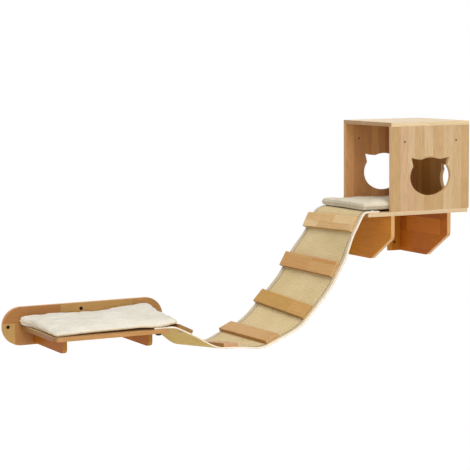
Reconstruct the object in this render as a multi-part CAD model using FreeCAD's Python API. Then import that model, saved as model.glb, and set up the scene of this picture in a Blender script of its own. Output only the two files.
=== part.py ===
import FreeCAD, Part
import math
import os

V = FreeCAD.Vector

# The wall plane is Y = 0 and the set stands out from it towards -Y. +X runs along the wall to the
# right, +Z is up. The origin is the middle of the perch's back plate, on the wall face. Millimetres.

# Boards
board = 15.0
depth = 350.0
edge_round = 1.5

# Perch back plate and its wall holes
plate_length = 630.0
plate_height = 140.0
plate_hole_inset = 20.0
plate_top_hole_inset = 22.0
plate_top_hole_shift = -12.0
wall_hole_r = 2.5
sink_r = 5.0
sink_depth = 2.5

# Perch shelf and its two arms
shelf_length = 430.0
shelf_shift = -30.0
shelf_rise = 3.0
shelf_corner_r = 28.0
shelf_bridge_corner_r = 6.0
arm_height = 50.0
arm_reach = 293.0
arm_inset = 45.0
arm_corner_r = 20.0

# House: a cube of boards on a platform, open on the side that the bridge comes to
house_offset = 1110.0
house_width = 350.0
house_wall = 320.0
platform_base = 358.0
platform_porch = 100.0
platform_corner_r = 14.0

# Cat head window, measured from the middle of its widest level
window_half = 90.5
window_level = 123.0
window_bottom = 67.0
window_cheek_x_share = 0.707
window_cheek_z_share = 0.707
notch_x = 77.0
notch_z = 44.0
ear_x = 85.5
ear_z = 78.5
ear_mid_x = 61.0
ear_mid_z = 72.0
dip_x = 39.0
dip_z = 70.0
crown_z = 77.0

# The right panel's window is smaller, lower and nearer to the room than the other two
side_window_size_share = 0.8
side_window_depth_share = 0.699
side_window_drop = 21.0

# Hole pair high in the front and back panels
panel_hole_spacing = 230.0
panel_hole_drop = 58.0

# Platform brackets: a gusset and the wall flange at its side
gusset_height = 175.0
gusset_nose = 85.0
gusset_foot = 205.0
gusset_round = 22.0
gusset_spacing = 252.0
flange_width = 52.0
flange_hole_r = 3.0
flange_hole_spacing = 110.0

# Bridge cloth
cloth_plate_gap = 2.0
cloth_room_inset = 5.0
cloth_grip = 52.0
canvas_thick = 2.0
mat_thick = 3.5
hem_width = 21.0
rest_gap = 0.3

# Bridge slats: (along the span, up the rise) of each slat's middle, at the room side and at the wall
# side. Each is then shifted towards the wall, apart from the last, which passes the perch's back plate.
slat_side_inset = 5.0
slat_width = 60.0
slat_thick = 14.0
slat_round = 2.0
slat_room_shares = (
    (0.954, 0.876),
    (0.857, 0.424),
    (0.709, 0.011),
    (0.525, -0.230),
    (0.310, -0.251),
    (0.081, -0.051),
)
slat_wall_shares = (
    (0.924, 0.859),
    (0.798, 0.462),
    (0.661, 0.089),
    (0.481, -0.209),
    (0.278, -0.330),
    (0.067, -0.092),
)
slat_slopes_deg = (61.0, 59.0, 46.0, 22.0, -3.0, -26.0)
slat_shifts = (12.0, 11.0, 9.0, 7.0, 7.0, 0)

# Fasteners
dowel_r = 4.0
dowel_half = 11.0
dowel_edge = 45.0
slat_screw_r = 2.0
slat_screw_bite = 10.0
slat_screw_head_r = 4.5
slat_screw_head = 2.4
slat_washer_r = 7.0
slat_washer = 1.0
slat_screw_shares = (-0.40, 0.0, 0.40)
end_edge = 18.0
end_inset = 30.0
end_hole_gap = 0.5
end_screw_r = 2.5
end_screw_bite = 11.0
end_head_r = 5.5
end_head = 2.0
end_washer_r = 9.0
end_washer = 1.0
end_bolt_r = 3.0
cap_nut_r = 11.0
cap_nut_height = 9.0
cap_nut_round = 4.0
cap_nut_wall = 2.5
joint_screw_r = 2.5
joint_screw_head_r = 4.5
joint_screw_head = 3.0
joint_screw_bite = 30.0

# Cushions
perch_cushion_wall_gap = 8.0
perch_cushion_front_inset = 14.0
perch_cushion_left_inset = 5.0
perch_cushion_overhang = 29.0
perch_cushion_room_edge = 9.0
perch_cushion_wall_edge = 28.0
perch_cushion_crown = 29.2
house_cushion_length = 296.0
house_cushion_side_gap = 6.0
house_cushion_out = 110.0
house_cushion_edge = 24.0
house_cushion_crown = 31.0
cushion_draw = 5.0
cushion_side_bulge = 4.0
cushion_rim_share = 0.12
cushion_rim_draw_share = 0.6
cushion_rim_crown_share = 0.55

overrun = 1.0

# Places worked out from the sizes above
shelf_left = shelf_shift - shelf_length / 2
shelf_right = shelf_shift + shelf_length / 2
shelf_under = shelf_rise - board
house_right = house_offset + house_width
platform_left = house_offset - platform_porch
platform_top = platform_base + board
roof_base = platform_top + house_wall
window_z = platform_top + window_level
panel_hole_z = roof_base - panel_hole_drop
span = platform_left - shelf_right
rise = platform_top - shelf_rise
cloth_wall_y = -board - cloth_plate_gap
cloth_room_y = cloth_room_inset - depth
cloth_width = cloth_wall_y - cloth_room_y
slat_length = cloth_width - slat_side_inset * 2
cloth_mid_y = (cloth_wall_y + cloth_room_y) / 2
deck_thick = canvas_thick + mat_thick
end_rows_y = (cloth_room_y + end_edge, cloth_mid_y, cloth_wall_y - end_edge)
upper_end_x = platform_left + end_inset
lower_end_x = shelf_right - end_inset
deck_top_gap = rest_gap + deck_thick + rest_gap


def box(x0, y0, z0, x1, y1, z1):
    return Part.makeBox(x1 - x0, y1 - y0, z1 - z0, V(x0, y0, z0))


def rod(start, direction, r, length):
    return Part.makeCylinder(r, length, start, direction)


def rounded(shape, test, r):
    edges = [e for e in shape.Edges if test(e)]
    return shape.makeFillet(r, edges)


def along(edge, axis):
    a, b = edge.Vertexes[0].Point, edge.Vertexes[-1].Point
    d = b - a
    return d.Length > 0 and abs(d.dot(axis)) / d.Length > 1 - 1e-6


def at_corner(edge, axis, point, reach):
    a, b = edge.Vertexes[0].Point, edge.Vertexes[-1].Point
    off = (a + b) * 0.5 - point
    off = off - axis * off.dot(axis)
    return along(edge, axis) and off.Length < reach


def save(shape, node):
    shape.exportStep("parts/" + node + ".step")


# Perch: a stadium back plate, drilled at both ends and at the top
def perch_back_plate():
    r = plate_height / 2
    half = plate_length / 2 - r
    body = box(-half, -board, -r, half, 0, r)
    for x in (-half, half):
        body = body.fuse(rod(V(x, 0, 0), V(0, -1, 0), r, board))
    body = body.removeSplitter()
    front = [e for e in body.Edges if e.BoundBox.YMax < -board / 2]
    body = body.makeFillet(edge_round, front)
    for x, z in plate_holes():
        body = body.cut(rod(V(x, overrun, z), V(0, -1, 0), wall_hole_r, board + overrun * 2))
        start = V(x, sink_depth - board, z)
        body = body.cut(Part.makeCone(wall_hole_r, sink_r, sink_depth, start, V(0, -1, 0)))
    for tool in joint_screw_rods():
        body = body.cut(tool)
    return body


def plate_holes():
    x = plate_length / 2 - plate_hole_inset
    return ((-x, 0), (x, 0), (plate_top_hole_shift, plate_height / 2 - plate_top_hole_inset))


def perch_shelf():
    body = box(shelf_left, -depth, shelf_under, shelf_right, -board, shelf_rise)
    up = V(0, 0, 1)
    for x, r in ((shelf_left, shelf_corner_r), (shelf_right, shelf_bridge_corner_r)):
        corner = V(x, -depth, 0)
        body = rounded(body, lambda e: at_corner(e, up, corner, board / 2), r)
    for y in end_rows_y:
        start = V(lower_end_x, y, shelf_under - overrun)
        body = body.cut(rod(start, up, end_bolt_r, board + overrun * 2))
    for tool in perch_dowel_rods() + joint_screw_rods():
        body = body.cut(tool)
    return body


def arm_lefts():
    return (shelf_left + arm_inset, shelf_right - arm_inset - board)


# Each arm stands on edge under the shelf, its lower front corner rounded
def perch_arm(left):
    front = -board - arm_reach
    body = box(left, front, shelf_under - arm_height, left + board, -board, shelf_under)
    corner = V(0, front, shelf_under - arm_height)
    body = rounded(body, lambda e: at_corner(e, V(1, 0, 0), corner, board / 2), arm_corner_r)
    for tool in perch_dowel_rods() + joint_screw_rods():
        body = body.cut(tool)
    return body


# Glued dowels stand half in the shelf and half in the arm under it
def perch_dowel_rods():
    half = board * 2 / 3
    rods = []
    for left in arm_lefts():
        for y in (-board - dowel_edge, -board - arm_reach + dowel_edge):
            rods.append(rod(V(left + board / 2, y, shelf_under - half), V(0, 0, 1), dowel_r, half * 2))
    return rods


def joint_screw(x, z):
    inward = V(0, -1, 0)
    shank_length = board + joint_screw_bite - joint_screw_head
    shank = rod(V(x, -joint_screw_head, z), inward, joint_screw_r, shank_length)
    head = Part.makeCone(joint_screw_head_r, joint_screw_r, joint_screw_head, V(x, 0, z), inward)
    return shank.fuse(head)


# Screws driven from the wall side of the plate, two into the shelf's back edge and one into each arm
def joint_screw_rods():
    screws = []
    for left in arm_lefts():
        screws.append(joint_screw(left + board / 2, shelf_under - arm_height / 2))
    for x in (shelf_left + arm_inset * 2, shelf_right - arm_inset * 2):
        screws.append(joint_screw(x, shelf_rise - board / 2))
    return screws


# Cat head outline in its own plane: u across, w up, at a share of its full size
def cat_head(at, size_share):
    cheek_u = window_half * window_cheek_x_share
    cheek_w = -window_bottom * window_cheek_z_share

    def place(u, w):
        return at(u * size_share, w * size_share)

    def arc(a, m, b):
        return Part.Arc(place(*a), place(*m), place(*b)).toShape()

    edges = []
    for s in (1, -1):
        edges.append(arc((s * cheek_u, cheek_w), (s * window_half, 0), (s * notch_x, notch_z)))
        edges.append(Part.makeLine(place(s * notch_x, notch_z), place(s * ear_x, ear_z)))
        edges.append(arc((s * ear_x, ear_z), (s * ear_mid_x, ear_mid_z), (s * dip_x, dip_z)))
    edges.append(arc((dip_x, dip_z), (0, crown_z), (-dip_x, dip_z)))
    edges.append(arc((-cheek_u, cheek_w), (0, -window_bottom), (cheek_u, cheek_w)))
    return Part.Face(Part.Wire(Part.__sortEdges__(edges)))


# Front and back panels are the same board: a window and a pair of small holes near the top
def house_face_panel(y_room):
    body = box(house_offset, y_room, platform_top, house_right, y_room + board, roof_base)
    mid = (house_offset + house_right) / 2
    face = cat_head(lambda u, w: V(mid + u, y_room - overrun, window_z + w), 1)
    body = body.cut(face.extrude(V(0, board + overrun * 2, 0)))
    for x in (mid - panel_hole_spacing / 2, mid + panel_hole_spacing / 2):
        start = V(x, y_room - overrun, panel_hole_z)
        body = body.cut(rod(start, V(0, 1, 0), wall_hole_r, board + overrun * 2))
    return without_dowels(body)


def house_right_panel():
    body = box(house_right - board, board - depth, platform_top, house_right, -board, roof_base)
    x = house_right - board - overrun
    y, z = -depth * side_window_depth_share, window_z - side_window_drop
    face = cat_head(lambda u, w: V(x, y + u, z + w), side_window_size_share)
    return without_dowels(body.cut(face.extrude(V(board + overrun * 2, 0, 0))))


def house_roof_board():
    body = box(house_offset, -depth, roof_base, house_right, 0, roof_base + board)
    top = [e for e in body.Edges if e.BoundBox.ZMin > roof_base + board / 2]
    return without_dowels(body.makeFillet(edge_round, top))


# Dowels in the middle of each board's thickness: roof to panels, panels to platform, corner joints
def house_dowel_rods():
    mid_y = (board / 2 - depth, -board / 2)
    xs = (house_offset + dowel_edge, house_right - board - dowel_edge)
    rods = []
    for z in (platform_top, roof_base):
        for y in mid_y:
            for x in xs:
                rods.append(rod(V(x, y, z - board * 2 / 3), V(0, 0, 1), dowel_r, board * 4 / 3))
        for y in (board - depth + dowel_edge, -board - dowel_edge):
            x = house_right - board / 2
            rods.append(rod(V(x, y, z - board * 2 / 3), V(0, 0, 1), dowel_r, board * 4 / 3))
    return rods


def corner_dowel_rods():
    rods = []
    for z in (platform_top + dowel_edge, roof_base - dowel_edge):
        x = house_right - board / 2
        rods.append(rod(V(x, board / 3 - depth, z), V(0, 1, 0), dowel_r, board * 4 / 3))
        rods.append(rod(V(x, -board / 3, z), V(0, -1, 0), dowel_r, board * 4 / 3))
    return rods


def without_dowels(body):
    for tool in house_dowel_rods() + corner_dowel_rods():
        body = body.cut(tool)
    return body


def platform_board():
    body = box(platform_left, -depth, platform_base, house_right, 0, platform_top)
    up = V(0, 0, 1)
    corner = V(house_right, -depth, 0)
    body = rounded(body, lambda e: at_corner(e, up, corner, board / 2), platform_corner_r)
    for tool in house_dowel_rods() + bracket_dowel_rods():
        body = body.cut(tool)
    for y in end_rows_y:
        start = V(upper_end_x, y, platform_top - end_screw_bite)
        body = body.cut(rod(start, up, end_screw_r, end_screw_bite + overrun))
    return body


def gusset_lefts():
    return (house_offset, house_offset + gusset_spacing)


# A gusset's outline: full depth at the platform, a short nose at the front, then cut back to a
# narrower foot
def gusset(left):
    top, low = platform_base, platform_base - gusset_height
    points = [(0, top), (-depth, top), (-depth, top - gusset_nose), (-gusset_foot, low), (0, low)]
    wire = Part.makePolygon([V(left, y, z) for y, z in points + points[:1]])
    body = Part.Face(wire).extrude(V(board, 0, 0))
    side = V(1, 0, 0)
    for y, z in points[2:4]:
        body = rounded(body, lambda e: at_corner(e, side, V(0, y, z), board / 2), gusset_round)
    for tool in bracket_dowel_rods() + flange_dowel_rods():
        body = body.cut(tool)
    return body


def wall_flange(left):
    low = platform_base - gusset_height
    body = box(left - flange_width, -board, low, left, 0, platform_base)
    mid = (low + platform_base) / 2
    for z in (mid - flange_hole_spacing / 2, mid + flange_hole_spacing / 2):
        start = V(left - flange_width / 2, overrun, z)
        body = body.cut(rod(start, V(0, -1, 0), flange_hole_r, board + overrun * 2))
    for tool in flange_dowel_rods():
        body = body.cut(tool)
    return body


def bracket_dowel_rods():
    rods = []
    for left in gusset_lefts():
        for y in (-dowel_edge, -depth + dowel_edge):
            start = V(left + board / 2, y, platform_base - board * 2 / 3)
            rods.append(rod(start, V(0, 0, 1), dowel_r, board * 4 / 3))
    return rods


# Long dowels join each flange to the side of its gusset
def flange_dowel_rods():
    rods = []
    for left in gusset_lefts():
        for z in (platform_base - dowel_edge, platform_base - gusset_height + dowel_edge):
            start = V(left - dowel_half, -board / 2, z)
            rods.append(rod(start, V(1, 0, 0), dowel_r, dowel_half + board * 2 / 3))
    return rods


# The cloth's line is kept as stations: a point and the slope there, positive falling towards the perch.
# It lies flat on the platform and on the shelf, is flat under each slat, and bends between them.
def side_stations(shares):
    z = platform_top + rest_gap
    flats = [((platform_left + cloth_grip, z), (platform_left, z), 0)]
    for (across, up), slope in zip(shares, slat_slopes_deg):
        a = math.radians(slope)
        x, z = shelf_right + across * span, shelf_rise + up * rise
        dx, dz = math.cos(a) * slat_width / 2, math.sin(a) * slat_width / 2
        flats.append(((x + dx, z + dz), (x - dx, z - dz), a))
    z = shelf_rise + rest_gap
    flats.append(((shelf_right, z), (shelf_right - cloth_grip, z), 0))
    return flats


def lifted(point, a, height):
    return (point[0] - math.sin(a) * height, point[1] + math.cos(a) * height)


# Two arcs that leave one flat and meet the next without a kink
def biarc(p, a, q, b):
    t1 = (-math.cos(a), -math.sin(a))
    t2 = (-math.cos(b), -math.sin(b))
    v = (q[0] - p[0], q[1] - p[1])
    vt = v[0] * (t1[0] + t2[0]) + v[1] * (t1[1] + t2[1])
    vv = v[0] ** 2 + v[1] ** 2
    k = 2 * (1 - t1[0] * t2[0] - t1[1] * t2[1])
    d = (math.sqrt(vt ** 2 + k * vv) - vt) / k
    m = tuple((p[i] + q[i] + d * (t1[i] - t2[i])) / 2 for i in (0, 1))
    tm = tuple((q[i] - p[i] - d * (t1[i] + t2[i])) for i in (0, 1))
    return m, math.atan2(-tm[1], -tm[0])


def arc_middle(p, a, q):
    chord = (q[0] - p[0], q[1] - p[1])
    size = math.hypot(*chord)
    turn = math.atan2(chord[1], chord[0]) - math.atan2(-math.sin(a), -math.cos(a))
    turn = math.atan2(math.sin(turn), math.cos(turn))
    off = math.tan(turn / 2) / 2
    return ((p[0] + q[0]) / 2 + chord[1] * off, (p[1] + q[1]) / 2 - chord[0] * off)


# One side's line at a height above the cloth's underside, as a list of edges at that side's Y
def side_edges(shares, y, height):
    flats = side_stations(shares)
    edges = []
    for i, (start, end, a) in enumerate(flats):
        p, q = lifted(start, a, height), lifted(end, a, height)
        edges.append(Part.makeLine(V(p[0], y, p[1]), V(q[0], y, q[1])))
        if i + 1 < len(flats):
            nxt, _, b = flats[i + 1]
            m, c = biarc(end, a, nxt, b)
            for (s, sa), (e, ea) in (((end, a), (m, c)), ((m, c), (nxt, b))):
                s, e = lifted(s, sa, height), lifted(e, ea, height)
                g = arc_middle(s, sa, e)
                arc = Part.Arc(V(s[0], y, s[1]), V(g[0], y, g[1]), V(e[0], y, e[1]))
                edges.append(arc.toShape())
    return edges


# A layer of the deck between two heights, ruled from the room side to the wall side
def cloth_layer(low, high):
    sections = []
    for shares, y in ((slat_room_shares, cloth_room_y), (slat_wall_shares, cloth_wall_y)):
        lower = side_edges(shares, y, low)
        upper = side_edges(shares, y, high)
        first = Part.makeLine(upper[0].Vertexes[0].Point, lower[0].Vertexes[0].Point)
        last = Part.makeLine(lower[-1].Vertexes[-1].Point, upper[-1].Vertexes[-1].Point)
        sections.append(Part.Wire([first] + lower + [last] + [e for e in reversed(upper)]))
    return Part.makeLoft(sections, True, True)


def between(layer, y0, y1):
    b = layer.BoundBox
    low, high = b.ZMin - overrun, b.ZMax + overrun
    return layer.common(box(b.XMin - overrun, y0, low, b.XMax + overrun, y1, high))


def bridge_cloth():
    canvas = cloth_layer(0, canvas_thick)
    upper = cloth_layer(canvas_thick, deck_thick)
    mat = between(upper, cloth_room_y + hem_width, cloth_wall_y - hem_width)
    room_hem = between(upper, cloth_room_y - overrun, cloth_room_y + hem_width)
    wall_hem = between(upper, cloth_wall_y - hem_width, cloth_wall_y + overrun)
    holes = end_holes()
    for i in range(len(slat_slopes_deg)):
        holes += [slat_screw(i, share, end_hole_gap) for share in slat_screw_shares]
    names = ("bridge_canvas", "bridge_sisal_mat", "bridge_hem_room", "bridge_hem_wall")
    for name, shape in zip(names, (canvas, mat, room_hem, wall_hem)):
        for hole in holes:
            if shape.BoundBox.intersect(hole.BoundBox):
                shape = shape.cut(hole)
        save(shape, name)


def end_holes():
    holes = []
    for y in end_rows_y:
        r = end_bolt_r + end_hole_gap
        holes.append(rod(V(upper_end_x, y, platform_top), V(0, 0, 1), r, deck_thick + overrun))
        holes.append(rod(V(lower_end_x, y, shelf_rise), V(0, 0, 1), r, deck_thick + overrun))
    return holes


# A slat's frame: its middle on top of the mat, its long axis, its width axis and its normal
def slat_frame(i):
    a = math.radians(slat_slopes_deg[i])
    ends = []
    for shares, y in ((slat_room_shares, cloth_room_y), (slat_wall_shares, cloth_wall_y)):
        across, up = shares[i]
        point = (shelf_right + across * span, shelf_rise + up * rise)
        x, z = lifted(point, a, deck_thick)
        ends.append(V(x, y, z))
    g = (ends[1] - ends[0]).normalize()
    middle = (ends[0] + ends[1]) * 0.5 + g * slat_shifts[i]
    n = V(math.cos(a), 0, math.sin(a)).cross(g).normalize()
    return middle, g, n.cross(g), n


def placed(shape, frame):
    o, g, w, n = frame
    rows = (g.x, w.x, n.x, o.x, g.y, w.y, n.y, o.y, g.z, w.z, n.z, o.z, 0, 0, 0, 1)
    shape.Placement = FreeCAD.Placement(FreeCAD.Matrix(*rows))
    return shape


def bridge_slat(i):
    half, w = slat_length / 2, slat_width / 2
    body = box(-half, -w, 0, half, w, slat_thick)
    top = [e for e in body.Edges if e.BoundBox.ZMin > slat_thick / 2]
    body = placed(body.makeFillet(slat_round, top), slat_frame(i))
    for share in slat_screw_shares:
        body = body.cut(slat_screw(i, share, 0))
    return body


# A slat screw comes up from under the cloth: a pan head, then the shank into the slat
def slat_screw(i, share, gap):
    x = share * slat_length
    low = -deck_thick - slat_washer - rest_gap
    shank = rod(V(x, 0, low), V(0, 0, 1), slat_screw_r + gap, slat_screw_bite - low)
    if gap == 0:
        head = rod(V(x, 0, low - slat_screw_head), V(0, 0, 1), slat_screw_head_r, slat_screw_head)
        shank = shank.fuse(head)
    return placed(shank, slat_frame(i))


def slat_washer_ring(i, share):
    x = share * slat_length
    low = V(x, 0, -deck_thick - slat_washer - rest_gap)
    ring = rod(low, V(0, 0, 1), slat_washer_r, slat_washer)
    return placed(ring.cut(rod(low, V(0, 0, 1), slat_screw_r, slat_washer)), slat_frame(i))


def on_every_slat(make):
    made = []
    for i in range(len(slat_slopes_deg)):
        made += [make(i, share) for share in slat_screw_shares]
    return Part.makeCompound(made)


# Ends of the cloth: washers and screws into the platform, washers, bolts and cap nuts through the shelf
def end_washers(x, base, r):
    rings = []
    for y in end_rows_y:
        low = V(x, y, base + deck_top_gap)
        ring = rod(low, V(0, 0, 1), end_washer_r, end_washer)
        rings.append(ring.cut(rod(low, V(0, 0, 1), r, end_washer)))
    return Part.makeCompound(rings)


def end_fasteners(x, base, r, bite):
    screws = []
    for y in end_rows_y:
        seat = base + deck_top_gap + end_washer
        shank = rod(V(x, y, base - bite), V(0, 0, 1), r, seat - base + bite)
        screws.append(shank.fuse(rod(V(x, y, seat), V(0, 0, 1), end_head_r, end_head)))
    return Part.makeCompound(screws)


def cap_nuts():
    nuts = []
    for y in end_rows_y:
        top, down = V(lower_end_x, y, shelf_under), V(0, 0, -1)
        body = rod(top, down, cap_nut_r, cap_nut_height)
        low = [e for e in body.Edges if e.BoundBox.ZMax < shelf_under - cap_nut_height / 2]
        body = body.makeFillet(cap_nut_round, low)
        nuts.append(body.cut(rod(top, down, end_bolt_r, cap_nut_height - cap_nut_wall)))
    return Part.makeCompound(nuts)


# A cushion section at one X: a flat underside, bulged sides and a crowned top
def cushion_section(x, y0, y1, low, room_edge, wall_edge, crown):
    mid = (y0 + y1) / 2
    bulge = cushion_side_bulge

    def arc(a, m, b):
        return Part.Arc(V(x, *a), V(x, *m), V(x, *b)).toShape()

    under = Part.makeLine(V(x, y0, low), V(x, y1, low))
    right = arc((y1, low), (y1 + bulge, low + wall_edge / 2), (y1, low + wall_edge))
    top = arc((y1, low + wall_edge), (mid, low + crown), (y0, low + room_edge))
    left = arc((y0, low + room_edge), (y0 - bulge, low + room_edge / 2), (y0, low))
    return Part.Wire([under, right, top, left])


# Sections along the cushion, with thin ends and sides that are drawn in between the corners
def cushion(x0, x1, y0, y1, low0, low1, room_edge, wall_edge, crown):
    rim = (cushion_rim_draw_share, cushion_rim_crown_share)
    stations = (
        (0, 0, 0),
        (cushion_rim_share, *rim),
        (1 / 2, 1, 1),
        (1 - cushion_rim_share, *rim),
        (1, 0, 0),
    )
    wires = []
    for along_share, draw_share, crown_share in stations:
        x = x0 + (x1 - x0) * along_share
        low = low0 + (low1 - low0) * along_share
        draw = cushion_draw * draw_share
        flat = (room_edge + wall_edge) / 2 + cushion_draw
        height = flat + (crown + cushion_draw - flat) * crown_share
        section = cushion_section(x, y0 + draw, y1 - draw, low, room_edge, wall_edge, height)
        wires.append(section)
    return Part.makeLoft(wires, True, False)


# It lies on the shelf, rises a little over the bolt heads at the bridge end, and is pushed up at the
# back plate, so its wall side is the thicker
def perch_cushion():
    low0 = shelf_rise + rest_gap
    x0 = shelf_left + perch_cushion_left_inset
    x1 = shelf_right + perch_cushion_overhang
    over_bolts = deck_top_gap + end_washer + end_head
    low1 = low0 + over_bolts * (x1 - x0) / (lower_end_x - end_head_r - x0)
    y0 = perch_cushion_front_inset - depth
    y1 = -board - perch_cushion_wall_gap
    edges = (perch_cushion_room_edge, perch_cushion_wall_edge)
    return cushion(x0, x1, y0, y1, low0, low1, *edges, perch_cushion_crown)


def house_cushion():
    low = platform_top + deck_top_gap + end_washer + end_head + rest_gap
    x0 = house_offset - house_cushion_out
    x1 = x0 + house_cushion_length
    y0 = board + house_cushion_side_gap - depth
    y1 = -board - house_cushion_side_gap
    edges = (house_cushion_edge, house_cushion_edge)
    return cushion(x0, x1, y0, y1, low, low, *edges, house_cushion_crown)


os.makedirs("parts", exist_ok=True)
save(perch_back_plate(), "perch_back_plate")
save(perch_shelf(), "perch_shelf")
for name, left in zip(("left", "right"), arm_lefts()):
    save(perch_arm(left), "perch_arm_" + name)
save(Part.makeCompound(perch_dowel_rods()), "perch_dowels")
save(Part.makeCompound(joint_screw_rods()), "perch_plate_screws")
save(perch_cushion(), "perch_cushion")

save(house_roof_board(), "house_roof_board")
save(house_face_panel(-depth), "house_front_panel")
save(house_face_panel(-board), "house_back_panel")
save(house_right_panel(), "house_right_panel")
save(Part.makeCompound(house_dowel_rods()), "house_dowels")
save(Part.makeCompound(corner_dowel_rods()), "house_corner_dowels")
save(house_cushion(), "house_cushion")

save(platform_board(), "platform_board")
for name, left in zip(("left", "right"), gusset_lefts()):
    save(gusset(left), "bracket_gusset_" + name)
    save(wall_flange(left), "bracket_flange_" + name)
save(Part.makeCompound(bracket_dowel_rods()), "bracket_top_dowels")
save(Part.makeCompound(flange_dowel_rods()), "bracket_flange_dowels")

bridge_cloth()
for i in range(len(slat_slopes_deg)):
    save(bridge_slat(i), "bridge_slat_" + str(i + 1))
save(on_every_slat(lambda i, share: slat_screw(i, share, 0)), "bridge_slat_screws")
save(on_every_slat(slat_washer_ring), "bridge_slat_washers")
save(end_washers(upper_end_x, platform_top, end_screw_r), "upper_end_washers")
save(end_fasteners(upper_end_x, platform_top, end_screw_r, end_screw_bite), "upper_end_screws")
save(end_washers(lower_end_x, shelf_rise, end_bolt_r), "lower_end_washers")
bolt_bite = board + cap_nut_height - cap_nut_wall
save(end_fasteners(lower_end_x, shelf_rise, end_bolt_r, bolt_bite), "lower_end_bolts")
save(cap_nuts(), "lower_end_cap_nuts")
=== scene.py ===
import math
import bmesh
import bpy
import numpy as np
from mathutils import Matrix, Vector, noise
from mathutils.bvhtree import BVHTree


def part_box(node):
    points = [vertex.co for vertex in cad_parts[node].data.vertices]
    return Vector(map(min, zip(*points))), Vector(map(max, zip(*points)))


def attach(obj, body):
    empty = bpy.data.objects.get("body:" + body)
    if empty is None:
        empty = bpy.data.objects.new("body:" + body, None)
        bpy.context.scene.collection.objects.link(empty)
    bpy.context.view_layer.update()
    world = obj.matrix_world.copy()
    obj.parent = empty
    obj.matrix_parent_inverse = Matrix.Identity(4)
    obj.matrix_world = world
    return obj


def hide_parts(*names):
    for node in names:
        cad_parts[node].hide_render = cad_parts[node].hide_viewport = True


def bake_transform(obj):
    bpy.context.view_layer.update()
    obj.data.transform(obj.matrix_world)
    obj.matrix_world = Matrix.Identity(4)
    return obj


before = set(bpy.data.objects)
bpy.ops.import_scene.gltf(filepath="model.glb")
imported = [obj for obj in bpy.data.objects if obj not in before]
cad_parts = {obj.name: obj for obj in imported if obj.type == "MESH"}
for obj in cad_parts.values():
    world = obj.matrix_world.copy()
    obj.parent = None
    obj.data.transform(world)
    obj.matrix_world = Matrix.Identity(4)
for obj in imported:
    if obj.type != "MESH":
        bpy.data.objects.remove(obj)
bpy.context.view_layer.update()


# Camera: a long lens six metres out from the wall and a metre above the perch, turned right along the wall
# and a little down, as the set was photographed. Colours are shown as they are written.
def put(name, data):
    made = bpy.data.objects.new(name, data)
    bpy.context.scene.collection.objects.link(made)
    return made


lens_mm, film_mm = 137.0, 36.0
camera_place = (-2.4529, -6.0392, 0.9962)
turned_right, tilted_down = 27.04, 6.02
roll = -0.0072
view = bpy.data.cameras.new("view")
view.sensor_width = film_mm
view.lens = lens_mm
view.clip_end = 60.0
camera = put("view", view)
bpy.context.scene.camera = camera
aim = Matrix.Rotation(math.radians(-turned_right), 4, "Z")
aim = aim @ Matrix.Rotation(math.radians(90 - tilted_down), 4, "X") @ Matrix.Rotation(roll, 4, "Z")
camera.matrix_world = Matrix.Translation(camera_place) @ aim
bpy.context.scene.view_settings.view_transform = "Standard"


# Studio: a pale painted room with two wide softboxes, one above the set and one in front of it, which hang
# free and light the set evenly. What the camera and polished faces see of the room is pure white.
def linear(tone):
    parts = [int(tone[i:i + 2], 16) / 255 for i in (1, 3, 5)]
    return [p / 12.92 if p <= 0.04045 else ((p + 0.055) / 1.055) ** 2.4 for p in parts] + [1.0]


def add(mat, kind, inputs=(), **settings):
    made = mat.node_tree.nodes.new("ShaderNode" + kind)
    for key, value in settings.items():
        setattr(made, key, value)
    for key, value in dict(inputs).items():
        if isinstance(value, bpy.types.NodeSocket):
            mat.node_tree.links.new(value, made.inputs[key])
        else:
            made.inputs[key].default_value = value
    return made.outputs


# Where the camera, varnish or metal looks straight at a surface, rather than being lit by it
def looked_at(mat):
    rays = add(mat, "LightPath")
    seen = add(mat, "Math", {0: rays["Is Camera Ray"], 1: rays["Is Glossy Ray"]}, operation="MAXIMUM")
    return add(mat, "Math", {0: seen[0], 1: rays["Is Transmission Ray"]}, operation="MAXIMUM")[0]


# Matt white paint: an even pale surround, without a shape that varnish could mirror
room = bpy.data.worlds.new("matt white painted room")
bpy.context.scene.world = room
room.use_nodes = True
room.node_tree.nodes.clear()
lit = add(room, "Background", {"Color": linear("#fbfaf7"), "Strength": 0.33})
white = add(room, "Background", {"Color": linear("#ffffff"), "Strength": 1.0})
shown = add(room, "MixShader", {0: looked_at(room), 1: lit[0], 2: white[0]})
add(room, "OutputWorld", {"Surface": shown[0]})

# Where each softbox stands as seen from the set, its strength, and its width in degrees
softboxes = (
    ("key softbox", (-0.09, -0.45, 0.89), 2.20, 50),
    ("fill softbox", (-0.50, -1.00, 0.10), 1.05, 70),
)
for name, toward, strength, spread in softboxes:
    lamp = bpy.data.lights.new(name, "SUN")
    lamp.energy = strength
    lamp.angle = math.radians(spread)
    lamp.color = linear("#fffaf2")[:3]
    put(name, lamp).rotation_euler = Vector(toward).to_track_quat("Z", "Y").to_euler()


# Floor: a wide sheet of pale backdrop paper, laid loose 1.1 m below the perch, so that nothing of the set
# stands on it. It takes the set's soft shadow and is white to the camera.
def blank_material(name):
    mat = bpy.data.materials.new(name)
    mat.use_nodes = True
    mat.node_tree.nodes.clear()
    return mat


floor_z, near, far = -1.10, -9, 11
corners = [(x, y, floor_z) for x, y in ((near, near), (far, near), (far, far), (near, far))]
floor_mesh = bpy.data.meshes.new("floor")
floor_mesh.from_pydata(corners, [], [(0, 1, 2, 3)])
put("floor", floor_mesh)

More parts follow.
